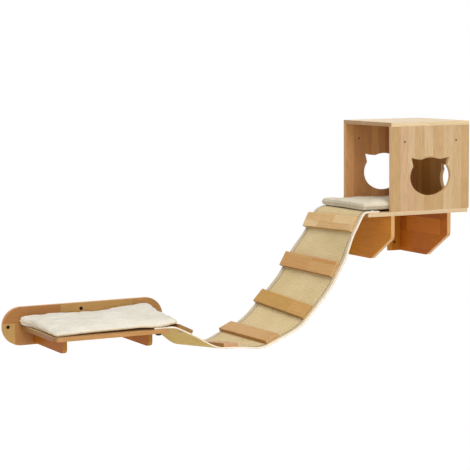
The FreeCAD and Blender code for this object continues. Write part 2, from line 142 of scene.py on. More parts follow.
# Matt paper: no sheen and no grain, white apart from a soft grey where the set shades it
paper = blank_material("matt white paper floor")
seen = add(paper, "Math", {0: looked_at(paper), 1: 0.90}, operation="MULTIPLY")
matt = add(paper, "BsdfDiffuse", {"Color": linear("#f4f2ee")})
glow = add(paper, "Emission", {"Color": linear("#ffffff"), "Strength": 1.03})
shown = add(paper, "MixShader", {0: seen[0], 1: matt[0], 2: glow[0]})
add(paper, "OutputMaterial", {"Surface": shown[0]})
floor_mesh.materials.append(paper)


# Perch back plate: a rubberwood board 630 mm long with round ends, screwed flat to the wall. Like every board
# of the set it is glued up from strips, side by side and end to end, sanded and varnished, so the wood for
# all of them is made here.
def wood(name, along, across, tones, strip, block, seed, place=(0, 0, 0), polish=1.0):
    # A thin satin varnish gives a warm colour with a broad soft sheen; a polish under 1 is a thinner coat.
    # Tones: the lightest strip, the darkest, a redder one, the sawn edges and the end grain.
    # On the roof and the shelf the end tone is darkened further as painted shade.
    light, dark, red, edge, end = (linear(tone) for tone in tones.split())
    mat = blank_material(name)

    # Sizes in mm. Fibres are 0.03 mm wide, pores 0.2 mm and glue lines 0.1 mm, too fine to show, so they are
    # drawn as coarse as they need. Growth rings are 15 mm apart on a plain-sawn face, and wander over 174 mm.
    fibre_wide, fibre_long = 1.818, 55.56
    pore_wide, pore_long = 1.212, 10.10
    figure_wide, figure_long = 18.18, 173.6
    ring_pitch, glue_line = 14.96, 0.8

    along, across = Vector(along).normalized(), Vector(across).normalized()
    coords = add(mat, "TexCoord")
    moved = add(mat, "VectorMath", {0: coords["Object"], 1: place}, operation="SUBTRACT")[0]
    point = add(mat, "VectorMath", {0: moved, "Scale": 1000.0}, operation="SCALE")[0]
    u, v, w = (
        add(mat, "VectorMath", {0: point, 1: axis}, operation="DOT_PRODUCT")["Value"]
        for axis in (across, along, along.cross(across))
    )

    # Strips and the blocks in them: a random tone for each, and how far its nearest joint is
    def cells(at, size, start, chance):
        at = add(mat, "Math", {0: at, 1: 1 / size, 2: start}, operation="MULTIPLY_ADD")[0]
        given = {"W": at, "Scale": 1.0, "Randomness": chance}
        tone = add(mat, "TexVoronoi", given, voronoi_dimensions="1D")["Color"]
        gap = add(mat, "TexVoronoi", given, voronoi_dimensions="1D", feature="DISTANCE_TO_EDGE")[0]
        gap = add(mat, "Math", {0: gap, 1: size}, operation="MULTIPLY")[0]
        return add(mat, "SeparateColor", {0: tone}), gap

    strips, seam = cells(u, strip, seed, 0.65)
    first_block = add(mat, "Math", {0: strips[1], 1: 23.7, 2: seed}, operation="MULTIPLY_ADD")[0]
    blocks, butt = cells(v, block, first_block, 0.8)
    joint = add(mat, "Math", {0: seam, 1: butt}, operation="MINIMUM")[0]
    given = {"Value": joint, 1: 0.1, 2: glue_line, 3: 1.0, 4: 0.0}
    joint = add(mat, "MapRange", given, interpolation_type="SMOOTHSTEP")[0]

    # Fibres, growth rings and pores, each block cut from another place of the tree
    grain_u = add(mat, "Math", {0: u, 1: 1 / fibre_wide}, operation="MULTIPLY")[0]
    grain_v = add(mat, "Math", {0: v, 1: 1 / fibre_long}, operation="MULTIPLY")[0]
    elsewhere = add(mat, "Math", {0: blocks[2], 1: 91.0}, operation="MULTIPLY")[0]
    grain_w = add(mat, "Math", {0: w, 1: 1 / fibre_wide, 2: elsewhere}, operation="MULTIPLY_ADD")[0]
    grain = add(mat, "CombineXYZ", {0: grain_u, 1: grain_v, 2: grain_w})[0]
    fibre = add(mat, "TexNoise", {"Vector": grain, "Scale": 1.0, "Detail": 5.0, "Roughness": 0.62})[0]
    wide = (fibre_wide / figure_wide, fibre_long / figure_long, fibre_wide / figure_wide)
    broad = add(mat, "VectorMath", {0: grain, 1: wide}, operation="MULTIPLY")[0]
    figure = add(mat, "TexNoise", {"Vector": broad, "Scale": 1.0, "Detail": 2.0, "Distortion": 0.6})[0]
    straight = add(mat, "Math", {0: u, 1: math.tau / ring_pitch}, operation="MULTIPLY")[0]
    wavy = add(mat, "Math", {0: figure, 1: 34.0, 2: straight}, operation="MULTIPLY_ADD")[0]
    rings = add(mat, "Math", {0: wavy}, operation="SINE")[0]
    narrow = (fibre_wide / pore_wide, fibre_long / pore_long, fibre_wide / pore_wide)
    dashes = add(mat, "VectorMath", {0: grain, 1: narrow}, operation="MULTIPLY")[0]
    pore = add(mat, "TexVoronoi", {"Vector": dashes, "Scale": 1.0, "Randomness": 1.0})[0]
    given = {"Value": pore, 1: 0.10, 2: 0.26, 3: 1.0, 4: 0.0}
    pore = add(mat, "MapRange", given, interpolation_type="SMOOTHSTEP")[0]

    # Colour: the block's tone, then the edges' and ends' tones, then the marks as a shade over it
    tone = add(mat, "Math", {0: blocks[0], 1: 0.62}, operation="MULTIPLY")[0]
    tone = add(mat, "Math", {0: strips[0], 1: 0.38, 2: tone}, operation="MULTIPLY_ADD")[0]
    given = {"Value": tone, 1: 0.12, 2: 0.88, 3: 0.0, 4: 1.0}
    tone = add(mat, "MapRange", given, interpolation_type="SMOOTHSTEP")[0]
    colour = add(mat, "Mix", {0: tone, 6: dark, 7: light}, data_type="RGBA")[2]
    given = {"Value": blocks[1], 1: 0.55, 2: 0.95, 3: 0.0, 4: 0.75}
    redder = add(mat, "MapRange", given, interpolation_type="SMOOTHSTEP")[0]
    colour = add(mat, "Mix", {0: redder, 6: colour, 7: red}, data_type="RGBA")[2]
    for axis, rim in ((across, edge), (along, end)):
        facing = add(mat, "VectorMath", {0: coords["Normal"], 1: axis}, operation="DOT_PRODUCT")["Value"]
        facing = add(mat, "Math", {0: facing}, operation="ABSOLUTE")[0]
        given = {"Value": facing, 1: 0.45, 2: 0.85, 3: 0.0, 4: 0.85}
        share = add(mat, "MapRange", given, interpolation_type="SMOOTHSTEP")[0]
        colour = add(mat, "Mix", {0: share, 6: colour, 7: rim}, data_type="RGBA")[2]
    shade = add(mat, "Math", {0: fibre, 1: 0.62, 2: 0.69}, operation="MULTIPLY_ADD")[0]
    for mark, depth in ((rings, 0.05), (pore, -0.16), (joint, -0.22)):
        shade = add(mat, "Math", {0: mark, 1: depth, 2: shade}, operation="MULTIPLY_ADD")[0]
    less_blue = add(mat, "Math", {0: shade, 1: 1.25}, operation="POWER")[0]
    shade = add(mat, "CombineColor", {0: shade, 1: shade, 2: less_blue})[0]
    colour = add(mat, "Mix", {0: 1.0, 6: colour, 7: shade}, data_type="RGBA", blend_type="MULTIPLY")[2]

    # Surface: the varnish sinks a little into pores and joints, and is glossier on the paler fibres
    height = add(mat, "Math", {0: fibre, 1: 0.35}, operation="MULTIPLY")[0]
    for mark in (pore, joint):
        height = add(mat, "Math", {0: height, 1: mark}, operation="SUBTRACT")[0]
    shader = add(mat, "BsdfPrincipled", {
        "Base Color": colour,
        "Roughness": add(mat, "MapRange", {"Value": fibre, 1: 0.2, 2: 0.8, 3: 0.50, 4: 0.38})[0],
        "Normal": add(mat, "Bump", {"Height": height, "Strength": 0.35, "Distance": 0.00015})[0],
        "Specular IOR Level": 0.30 * polish,
        "Coat Weight": 0.10 * polish,
        "Coat Roughness": 0.30,
    })
    add(mat, "OutputMaterial", {"Surface": shader[0]})
    return mat


def finish_node(node, mat):
    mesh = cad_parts[node].data
    mesh.materials.clear()
    mesh.materials.append(mat)


# Satin varnish on broad brown heartwood strips: a quiet mid brown with a paler, brighter upper edge
plate_wood = wood("varnished rubberwood, back plate", (1, 0, 0), (0, 0, 1),
                  "#b58f56 #a26c3b #965831 #cfa06c #c08c58", 140, 250, 6.9)
finish_node("perch_back_plate", plate_wood)

# Perch shelf: the board that the cat lies on, of rubberwood strips that run along the wall.
# It is screwed on through the back plate and rests on the two arms.

# Satin varnish: a dull brown top, mostly under the cushion, with a light front edge and dark ends, whose end
# grain tone is darkened further as painted shade
shelf_wood = wood("varnished rubberwood, shelf", (1, 0, 0), (0, 1, 0),
                  "#bf9b69 #ab7f4c #9e6b3f #bf8e58 #8f6238", 55, 260, 5.1)
finish_node("perch_shelf", shelf_wood)

# Perch arms: two rubberwood boards on edge under the shelf, from the back plate to the shelf's front.
# They are glued to both on dowels.

# Satin varnish, a thin coat: a deep orange brown, which stays saturated at a flat angle
arm_wood = wood("varnished rubberwood, perch arms", (0, 1, 0), (0, 0, 1),
                "#c97e2c #b46c1c #a45e14 #b87c38 #b4843c", 60, 300, 1.7, polish=0.3)
for node in ("perch_arm_left", "perch_arm_right"):
    finish_node(node, arm_wood)

# House roof: a rubberwood board that covers the house, with its strips along the wall.
# It is glued on dowels to the upper edges of the panels.

# Satin varnish on sapwood: the palest board of the set, cream, with light brown ends partly darkened as
# painted shade
roof_wood = wood("varnished rubberwood, roof", (1, 0, 0), (0, 1, 0),
                 "#e7dbc0 #d9c19d #d3b48d #dfc9a2 #ad8353", 50, 280, 3.3)
finish_node("house_roof_board", roof_wood)

# House panels: front, back and right boards of upright rubberwood strips, glued to each other at the corners
# on dowels. Each has a window in the shape of a cat's head, sawn through it, and the front and back panels
# have a pair of small holes under the roof.

# Satin varnish: straw for the front, a warmer brown for the back
front_wood = wood("varnished rubberwood, front panel", (0, 0, 1), (1, 0, 0),
                  "#d3bb98 #be9b6d #c6a17f #dcb688 #c8a074", 40, 900, 8.2)
finish_node("house_front_panel", front_wood)
back_wood = wood("varnished rubberwood, back panel", (0, 0, 1), (1, 0, 0),
                 "#d9a56e #b2784a #b26d3b #d0a272 #b88a58", 38, 700, 4.6)
finish_node("house_back_panel", back_wood)
# Satin varnish, a thin coat: a golden brown inside, which white surroundings don't wash out
side_wood = wood("varnished rubberwood, right panel", (0, 0, 1), (0, 1, 0),
                 "#be9050 #a87434 #985f2c #dcb688 #c09060", 46, 800, 6.9, polish=0.3)
finish_node("house_right_panel", side_wood)

# Platform: a rubberwood board under the house, which also carries the bridge's upper end.
# It lies on the two brackets, glued on dowels, and the house is glued on it in the same way.

# Satin varnish: a pale brown top and edge with lively strips
platform_wood = wood("varnished rubberwood, platform", (1, 0, 0), (0, 1, 0),
                     "#d1b18a #c19d71 #be956f #d9c19e #be9971", 54, 300, 7.4)
finish_node("platform_board", platform_wood)

# Brackets: under each side of the platform a rubberwood gusset on edge, and a flange of the same wood flat on
# the wall. They are glued to each other on dowels, and the flanges are screwed to the wall.

# Satin varnish, a thin coat: deep orange brown sides, strongest on the right, with pale sawn edges
gusset_woods = {
    "left": wood("varnished rubberwood, left gusset", (0, 1, 0), (0, 0, 1),
                 "#d28e36 #c37b29 #b56f22 #e0b886 #d8ac78", 58, 260, 2.9, polish=0.3),
    "right": wood("varnished rubberwood, right gusset", (0, 1, 0), (0, 0, 1),
                  "#c87924 #b0631d #a25919 #dcb488 #d4a874", 58, 240, 9.3, polish=0.3),
}
flange_wood = wood("varnished rubberwood, flanges", (0, 0, 1), (1, 0, 0),
                   "#ca862d #b16f21 #a55f1d #c89058 #b88450", 52, 300, 1.2, polish=0.3)
for side, gusset_wood in gusset_woods.items():
    finish_node("bracket_gusset_" + side, gusset_wood)
    finish_node("bracket_flange_" + side, flange_wood)

# Dowels: turned beech pins in the board joints of the perch, the house and the brackets.
# They are glued in, and a closed joint hides them.

# Bare turned beech: an even pinkish tan with fine straight fibres
dowel_wood = wood("bare beech, dowels", (0, 0, 1), (1, 0, 0),
                  "#d8b284 #cca272 #c89868 #d8b284 #c8a070", 30, 90, 0.4)
for node in ("perch_dowels", "house_dowels", "house_corner_dowels", "bracket_top_dowels",
             "bracket_flange_dowels"):
    finish_node(node, dowel_wood)

# Slats: six rubberwood boards across the bridge, rounded along their upper edges, each screwed on from below
# through the canvas. Each is cut from another glued board, so each has its own tone and joints.

# Satin varnish: golden brown treads, from a pale upper one to a redder lower one
slat_strip, slat_block = 80, 210
slat_tones = (
    ("#ddbf8e #d1ab73 #c9a16b #bd9147 #ccac7c", 3.1),
    ("#c59c63 #bc8445 #b57c40 #a87130 #cca470", 7.7),
    ("#c29759 #ba8f4a #b38544 #a8783a #bc9458", 11.2),
    ("#c2985d #bd9053 #b5864a #a9793c #c4a070", 5.6),
    ("#c2965e #b3874d #ac7b42 #a8773e #cda07c", 2.2),
    ("#be8f58 #ac7f49 #a16f3a #9d6f37 #96703f", 9.9),
)
for i, (tones, seed) in enumerate(slat_tones, 1):
    node = "bridge_slat_" + str(i)
    co = np.array([vert.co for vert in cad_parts[node].data.vertices])
    middle = co.mean(0)
    lengthwise, sideways = np.linalg.svd(co - middle, full_matrices=False)[2][:2]
    slat_wood = wood("varnished rubberwood, slat " + str(i), lengthwise, sideways, tones,
                     slat_strip, slat_block, seed, tuple(middle))
    finish_node(node, slat_wood)

# Bridge cloth: a cotton canvas with a ribbed sisal mat on it, and along each side a hem folded from the
# canvas and overlocked to the mat. Screws on the platform, bolts on the shelf and the slats' screws hold it.
# It lies flat there and under each slat, and hangs slack between them.

# Sizes in mm: where its flat ends are, how far they reach on the boards, and how thick its layers are
shelf_end, shelf_top = 185.0, 3.0
platform_end, platform_top = 1010.0, 373.0
cloth_room, cloth_wall = -345.0, -17.0
grip, rest_gap = 52.0, 0.3
canvas_thick, mat_thick, hem_width = 2.0, 3.5, 21.0
hem_share = hem_width / (cloth_wall - cloth_room)
cloth_span = (cloth_wall - cloth_room) / 1000
rib_pitch, rows_per_rib = 8.0, 6
# The slats from the platform down: how far along and how high each lies between shelf and platform, on the
# cloth's room side and on its wall side, its slope in degrees, and the rows of cloth in each gap
room_shares = ((0.954, 0.876), (0.857, 0.424), (0.709, 0.011),
               (0.525, -0.230), (0.310, -0.251), (0.081, -0.051))
wall_shares = ((0.924, 0.859), (0.798, 0.462), (0.661, 0.089),
               (0.481, -0.209), (0.278, -0.330), (0.067, -0.092))
slopes = (61.0, 59.0, 46.0, 22.0, -3.0, -26.0)
slat_half = 30
gap_rows = (18, 100, 92, 84, 84, 92, 18)


# One side of the cloth from platform to shelf: straight on the boards and under each slat, and a smooth curve
# between. Each row of the result is a point and the way it heads.
def side_line(shares):
    flats = [((platform_end + grip, platform_top + rest_gap), (platform_end, platform_top + rest_gap), 0.0)]
    for (across, up), slope in zip(shares, slopes):
        a = math.radians(slope)
        x = shelf_end + across * (platform_end - shelf_end)
        z = shelf_top + up * (platform_top - shelf_top)
        dx, dz = math.cos(a) * slat_half, math.sin(a) * slat_half
        flats.append(((x + dx, z + dz), (x - dx, z - dz), a))
    flats.append(((shelf_end, shelf_top + rest_gap), (shelf_end - grip, shelf_top + rest_gap), 0.0))
    points = []
    for i, (start, end, a) in enumerate(flats):
        p, q = np.array(start), np.array(end)
        n = max(2, round(np.linalg.norm(q - p) / (rib_pitch / rows_per_rib)))
        heading = np.array((-math.cos(a), -math.sin(a)))
        points += [(*(p + (q - p) * k / n), *heading) for k in range(n)]
        if i + 1 == len(flats):
            points.append((*q, *heading))
            break
        r, b = np.array(flats[i + 1][0]), flats[i + 1][2]
        size = np.linalg.norm(r - q)
        leaving, arriving = heading * size, np.array((-math.cos(b), -math.sin(b))) * size
        n = gap_rows[i]
        for k in range(n):
            t = k / n
            at = ((2 * t ** 3 - 3 * t ** 2 + 1) * q + (t ** 3 - 2 * t ** 2 + t) * leaving
                  + (3 * t ** 2 - 2 * t ** 3) * r + (t ** 3 - t ** 2) * arriving)
            go = ((6 * t ** 2 - 6 * t) * q + (3 * t ** 2 - 4 * t + 1) * leaving
                  + (6 * t - 6 * t ** 2) * r + (3 * t ** 2 - 2 * t) * arriving)
            points.append((*at, *(go / np.linalg.norm(go))))
    return np.array(points)


room_line, wall_line = side_line(room_shares), side_line(wall_shares)
middle_line = (room_line + wall_line) / 2
run = np.concatenate(([0], np.cumsum(np.linalg.norm(np.diff(middle_line[:, :2], axis=0), axis=1))))


# A point of the cloth: share runs from the room side to the wall side, and height is over the underside
def deck_point(row, share, height):
    a = room_line[row] * (1 - share) + wall_line[row] * share
    slope = np.array((-a[3], a[2])) / math.hypot(a[2], a[3])
    y = cloth_room + (cloth_wall - cloth_room) * share
    return Vector(((a[0] - slope[0] * height) / 1000, y / 1000, (a[1] - slope[1] * height) / 1000))


# A piece from loose faces, all turned outward
def made_of(name, bm):
    bmesh.ops.recalc_face_normals(bm, faces=bm.faces)
    mesh = bpy.data.meshes.new(name)
    bm.to_mesh(mesh)
    bm.free()
    return put(name, mesh)


# A layer of the cloth between two heights, closed round its edges, with its flat place in metres as its UV
def layer(name, rows, shares, low, high):
    bm = bmesh.new()
    uv = bm.loops.layers.uv.new("cloth")
    top, under = [[[bm.verts.new(deck_point(r, s, lift(r, s))) for s in shares] for r in rows]
                  for lift in (high, low)]
    where = {}
    for grid in (top, under):
        for i, r in enumerate(rows):
            for j, s in enumerate(shares):
                where[grid[i][j]] = ((cloth_wall - cloth_room) * s / 1000, run[r] / 1000)
    n, m = len(rows), len(shares)
    quads = []
    for i in range(n - 1):
        for j in range(m - 1):
            quads.append((top[i][j], top[i][j + 1], top[i + 1][j + 1], top[i + 1][j]))
            quads.append((under[i][j], under[i + 1][j], under[i + 1][j + 1], under[i][j + 1]))
        quads.append((top[i][0], top[i + 1][0], under[i + 1][0], under[i][0]))
        quads.append((top[i][m - 1], under[i][m - 1], under[i + 1][m - 1], top[i + 1][m - 1]))
    for j in range(m - 1):
        quads.append((top[0][j], under[0][j], under[0][j + 1], top[0][j + 1]))
        quads.append((top[n - 1][j], top[n - 1][j + 1], under[n - 1][j + 1], under[n - 1][j]))
    for quad in quads:
        face = bm.faces.new(quad)
        face.smooth = True
        for loop in face.loops:
            loop[uv].uv = where[loop.vert]
    return made_of(name, bm)


def woven(name, light, dark, pitch, rough, depth, rib=None, seams=(), fold=None):
    # Unfinished plant fibre gives a dull face with a faint bloom at its edges and no highlight. Sizes are in
    # mm: the pitch of the weave, the depth of its threads and the pitch of the ribs.
    mat = blank_material(name)

    # Threads wander a little over 17 mm, tones drift over 111 mm. A fibre is 0.2 mm wide, too fine to show,
    # so its streaks are drawn 0.7 mm wide and 3.3 mm long.
    wander, drift = 16.67, 111.1
    streak_long, streak_wide = 3.333, 0.6667
    coords = add(mat, "UVMap", uv_map="cloth")[0]
    split = add(mat, "SeparateXYZ", {0: coords})
    wobble = add(mat, "TexNoise", {"Vector": coords, "Scale": 1000 / wander, "Detail": 3.0})[0]
    wobble = add(mat, "Math", {0: wobble, 1: 2.2, 2: -1.1}, operation="MULTIPLY_ADD")[0]
    per_thread = math.tau / pitch * 1000
    waves = []
    for k in (0, 1):
        turn = add(mat, "Math", {0: split[k], 1: per_thread, 2: wobble}, operation="MULTIPLY_ADD")[0]
        waves.append(add(mat, "Math", {0: turn}, operation="SINE")[0])
    cross = add(mat, "Math", {0: waves[0], 1: waves[1]}, operation="MULTIPLY")[0]
    given = {"Vector": coords, "Scale": 1000 / drift, "Detail": 4.0, "Roughness": 0.6}
    patch = add(mat, "TexNoise", given)[0]
    streaks = (1000 / streak_long, 1000 / streak_wide, 1.0)
    streaks = add(mat, "Mapping", {"Vector": coords, "Scale": streaks})[0]
    fibre = add(mat, "TexNoise", {"Vector": streaks, "Scale": 1.0, "Detail": 3.0})[0]

    # Colour: fibre and patch tones, and a painted highlight along the cloth's two side edges, where the fold
    # faces the light
    tone = add(mat, "Math", {0: patch, 1: 0.55}, operation="MULTIPLY")[0]
    tone = add(mat, "Math", {0: fibre, 1: 0.45, 2: tone}, operation="MULTIPLY_ADD")[0]
    given = {"Value": tone, 1: 0.34, 2: 0.66, 3: 0.0, 4: 1.0}
    tone = add(mat, "MapRange", given, interpolation_type="SMOOTHSTEP")[0]
    colour = add(mat, "Mix", {0: tone, 6: linear(dark), 7: linear(light)}, data_type="RGBA")[2]
    if fold:
        fold_highlight_tone, fold_wide = fold
        wall_side = add(mat, "Math", {0: cloth_span, 1: split[0]}, operation="SUBTRACT")[0]
        from_edge = add(mat, "Math", {0: split[0], 1: wall_side}, operation="MINIMUM")[0]
        given = {"Value": from_edge, 1: 0.6 * fold_wide / 1000, 2: fold_wide / 1000, 3: 1.0, 4: 0.0}
        share = add(mat, "MapRange", given, interpolation_type="SMOOTHSTEP")[0]
        colour = add(mat, "Mix", {0: share, 6: colour, 7: linear(fold_highlight_tone)}, data_type="RGBA")[2]

    # Shade: the weave, painted shade in the grooves between the ribs, and rows of stitches 4 mm long beside
    # the fold
    given = {"Value": cross, 1: -1.0, 2: 1.0, 3: 0.97, 4: 1.02}
    shade = add(mat, "MapRange", given, interpolation_type="SMOOTHSTEP")[0]
    if rib:
        ridge = add(mat, "Math", {0: split[1], 1: math.pi / rib * 1000}, operation="MULTIPLY")[0]
        for step in ("SINE", "ABSOLUTE"):
            ridge = add(mat, "Math", {0: ridge}, operation=step)[0]
        given = {"Value": ridge, 1: 0.08, 2: 0.40, 3: 0.66, 4: 1.0}
        groove_painted_shade = add(mat, "MapRange", given, interpolation_type="SMOOTHSTEP")[0]
        shade = add(mat, "Math", {0: shade, 1: groove_painted_shade}, operation="MULTIPLY")[0]
    stitch_long, thread_half = 4.0, 0.6
    for seam in seams:
        for at in (seam / 1000, cloth_span - seam / 1000):
            off = add(mat, "Math", {0: split[0], 1: at}, operation="SUBTRACT")[0]
            off = add(mat, "Math", {0: off}, operation="ABSOLUTE")[0]
            given = {"Value": off, 1: 0.5 * thread_half / 1000, 2: thread_half / 1000, 3: 1.0, 4: 0.0}
            row = add(mat, "MapRange", given, interpolation_type="SMOOTHSTEP")[0]
            dash = add(mat, "Math", {0: split[1], 1: math.tau / stitch_long * 1000}, operation="MULTIPLY")[0]
            dash = add(mat, "Math", {0: dash}, operation="SINE")[0]
            given = {"Value": dash, 1: -0.4, 2: 0.0, 3: 0.0, 4: 0.35}
            dash = add(mat, "MapRange", given, interpolation_type="SMOOTHSTEP")[0]
            row = add(mat, "Math", {0: row, 1: dash}, operation="MULTIPLY")[0]
            shade = add(mat, "Math", {0: shade, 1: row}, operation="SUBTRACT")[0]
    shade = add(mat, "CombineColor", {0: shade, 1: shade, 2: shade})[0]
    colour = add(mat, "Mix", {0: 1.0, 6: colour, 7: shade}, data_type="RGBA", blend_type="MULTIPLY")[2]

    height = add(mat, "Math", {0: cross, 1: fibre}, operation="ADD")[0]
    shader = add(mat, "BsdfPrincipled", {
        "Base Color": colour,
        "Roughness": add(mat, "MapRange", {"Value": patch, 3: rough - 0.05, 4: rough + 0.05})[0],
        "Normal": add(mat, "Bump", {"Height": height, "Strength": 0.6, "Distance": depth / 1000})[0],
        "Specular IOR Level": 0.25,
        "Sheen Weight": 0.2,
        "Sheen Roughness": 0.5,
    })
    add(mat, "OutputMaterial", {"Surface": shader[0]})
    return mat


# A flat face of the cloth at one height
def even(height):
    return lambda row, share: height


# Height of the mat over the cloth's underside: rounded ribs that flatten out in the last 5.5 mm by the hems,
# and rise and fall by a tenth of a millimetre about every 10 mm
def rib_height(row, share):
    groove_floor, rib_rise, least_rise = 1.25, 0.9, 0.35
    drift_rise, drift_across, drift_long, flatten = 0.10, 30, 9, 60
    rib = abs(math.sin(math.pi * run[row] / rib_pitch))
    drift = noise.noise(Vector((share * drift_across, run[row] / drift_long, 0.0)))
    rim = min(1.0, max(0.0, min(share - hem_share, 1 - hem_share - share) * flatten))
    rise = (least_rise + rib_rise * rib ** 0.5) * rim
    return canvas_thick + mat_thick - groove_floor + rise + drift_rise * drift


# Height of a hem: a flat fold with rounded sides, which puckers a little every 14 mm
def hem_height(side):
    fold_rise, pucker_rise, pucker_long = 2.2, 0.25, 14

    def lift(row, share):
        inside = (share if side == "room" else 1 - share) / hem_share
        fold = math.sqrt(max(0.0, 1 - (2 * min(1.0, max(0.0, inside)) - 1) ** 4))
        pucker = noise.noise(Vector((inside * 2, run[row] / pucker_long, 7.0)))
        return canvas_thick + mat_thick - fold_rise + fold_rise * fold + pucker_rise * pucker
    return lift


# A ring of points round a line that runs out from the wall; a recess draws it in to a cross
def ring_of(bm, centre, radius, sides, recess=0.0):
    ring = []
    for turn in range(sides):
        a = math.tau * turn / sides
        reach = radius * (1 + recess * math.cos(4 * a))
        ring.append(bm.verts.new(centre + Vector((math.cos(a) * reach, 0.0, math.sin(a) * reach)) / 1000))
    return ring


# Faces from ring to ring, with a cap on each end, or joined end to end
def skin(bm, rings, smooth, closed=False):
    following = rings[1:] + (rings[:1] if closed else [])
    for one, two in zip(rings, following):
        for k in range(len(one)):
            bm.faces.new((one[k], one[k - 1], two[k - 1], two[k])).smooth = smooth
    if not closed:
        bm.faces.new(rings[0])
        bm.faces.new(rings[-1][::-1])


# Overlock stitches: thread loops over the seam between hem and mat, one every 5.5 mm, set slantwise. A loop's
# path gives how far it is past the seam, from the hem to the mat, and how high over the cloth, in mm.
stitch_pitch, stitch_margin, stitch_slant, stitch_sunk = 5.5, 2, 0.45, 1.4
thread_radius, thread_sides = 0.65, 5
stitch_path = ((-2.4, -0.6), (-1.6, 0.5), (0.4, 0.9), (2.6, 0.8), (3.6, -0.8))


def overlock(name, rows):
    bm = bmesh.new()
    stitches = np.arange(run[rows[0]] + stitch_margin, run[rows[-1]] - stitch_margin, stitch_pitch)
    lowest = canvas_thick + mat_thick - stitch_sunk
    for side, at in (("room", hem_share), ("wall", 1 - hem_share)):
        inward = (1 if side == "room" else -1) / (cloth_wall - cloth_room)
        for start in stitches:
            rings = []
            for across, lift in stitch_path:
                row = int(np.argmin(np.abs(run - start - across * stitch_slant)))
                share = at + across * inward
                surface = hem_height(side)(row, at) if across < 0 else rib_height(row, share)
                centre = deck_point(row, share, max(surface, lowest) + lift)
                rings.append(ring_of(bm, centre, thread_radius, thread_sides))
            skin(bm, rings, True)
    return made_of(name, bm)


# Plain canvas: a dull yellow underside, with a paler painted highlight along its side edges. Its threads are
# 0.8 mm apart, too fine to show, so they are drawn 2.2 mm apart, and 1.8 mm in the hems.
canvas_cloth = woven("plain cotton canvas", "#dcbc66", "#cba954", 2.2, 0.85, 0.4, fold=("#f0e3cd", 2.2))
# Folded canvas: a pale beige band with two rows of stitches, and a painted highlight along its fold
hem_cloth = woven("folded cotton canvas hem", "#d8ccb6", "#c6b89e", 1.8, 0.85, 0.3,
                  seams=(3.0, hem_width - 4.0), fold=("#f8eddb", 5.5))
# Ribbed sisal: straw with painted shade in its grooves 8 mm apart, its yarns at their true 3.4 mm
sisal = woven("ribbed sisal weave", "#dfcb9f", "#d2bd8c", 3.4, 0.80, 0.3, rib_pitch)

# Twisted polyester: a dull brown thread, its plies seen as fine slanted bands. They are 0.4 mm apart, too
# fine to show, so they are drawn 1.2 mm apart, and its fluff 0.6 mm wide.
ply_pitch, fluff_wide = 1.2, 0.5556
thread = blank_material("brown polyester overlock thread")
coords = add(thread, "TexCoord")["Object"]
lay = add(thread, "VectorMath", {0: coords, 1: (1.0, 0.6, 0.8)}, operation="DOT_PRODUCT")["Value"]
turn = add(thread, "Math", {0: lay, 1: math.tau / ply_pitch * 1000}, operation="MULTIPLY")[0]
turn = add(thread, "Math", {0: turn}, operation="SINE")[0]
fluff = add(thread, "TexNoise", {"Vector": coords, "Scale": 1000 / fluff_wide, "Detail": 3.0})[0]
tone = add(thread, "Math", {0: turn, 1: 0.25, 2: fluff}, operation="MULTIPLY_ADD")[0]
given = {"Value": tone, 1: 0.1, 2: 0.9, 3: 0.0, 4: 1.0}
tone = add(thread, "MapRange", given, interpolation_type="SMOOTHSTEP")[0]
colour = add(thread, "Mix", {0: tone, 6: linear("#5d4a30"), 7: linear("#8f7650")}, data_type="RGBA")[2]
shader = add(thread, "BsdfPrincipled", {
    "Base Color": colour,
    "Roughness": add(thread, "MapRange", {"Value": fluff, 3: 0.75, 4: 0.90})[0],
    "Normal": add(thread, "Bump", {"Height": tone, "Strength": 0.5, "Distance": 0.0003})[0],
    "Specular IOR Level": 0.25,
})
add(thread, "OutputMaterial", {"Surface": shader[0]})

# The cloth is made as two halves that meet under slat 4
cut_share = 0.503
cut = int(np.argmin(np.abs(middle_line[:, 0] - (shelf_end + cut_share * (platform_end - shelf_end)))))
halves = {"upper": range(0, cut + 1), "lower": range(cut, len(run))}
canvas_columns, mat_columns, hem_columns = 40, 44, 8
canvas_shares = [j / canvas_columns for j in range(canvas_columns + 1)]
mat_shares = [hem_share + (1 - 2 * hem_share) * j / mat_columns for j in range(mat_columns + 1)]
for half, rows in halves.items():
    rows = list(rows)
    sparse = rows[::3] + ([rows[-1]] if (len(rows) - 1) % 3 else [])
    under = layer("bridge_canvas_" + half, sparse, canvas_shares, even(0.0), even(canvas_thick))
    under.data.materials.append(canvas_cloth)
    weave = layer("bridge_sisal_mat_" + half, rows, mat_shares, even(canvas_thick), rib_height)
    weave.data.materials.append(sisal)
    hems = []
    for side, first in (("room", 0.0), ("wall", 1 - hem_share)):
        shares = [first + hem_share * j / hem_columns for j in range(hem_columns + 1)]
        hem = layer("bridge_hem_" + side + "_" + half, rows, shares, even(canvas_thick), hem_height(side))
        hem.data.materials.append(hem_cloth)
        hems.append(hem)
    stitching = overlock("bridge_stitching_" + half, rows)
    stitching.data.materials.append(thread)
    for piece in (under, weave, stitching, *hems):
        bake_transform(piece)
    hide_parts("bridge_canvas")
    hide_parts("bridge_sisal_mat")
    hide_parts("bridge_hem_room")
    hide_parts("bridge_hem_wall")


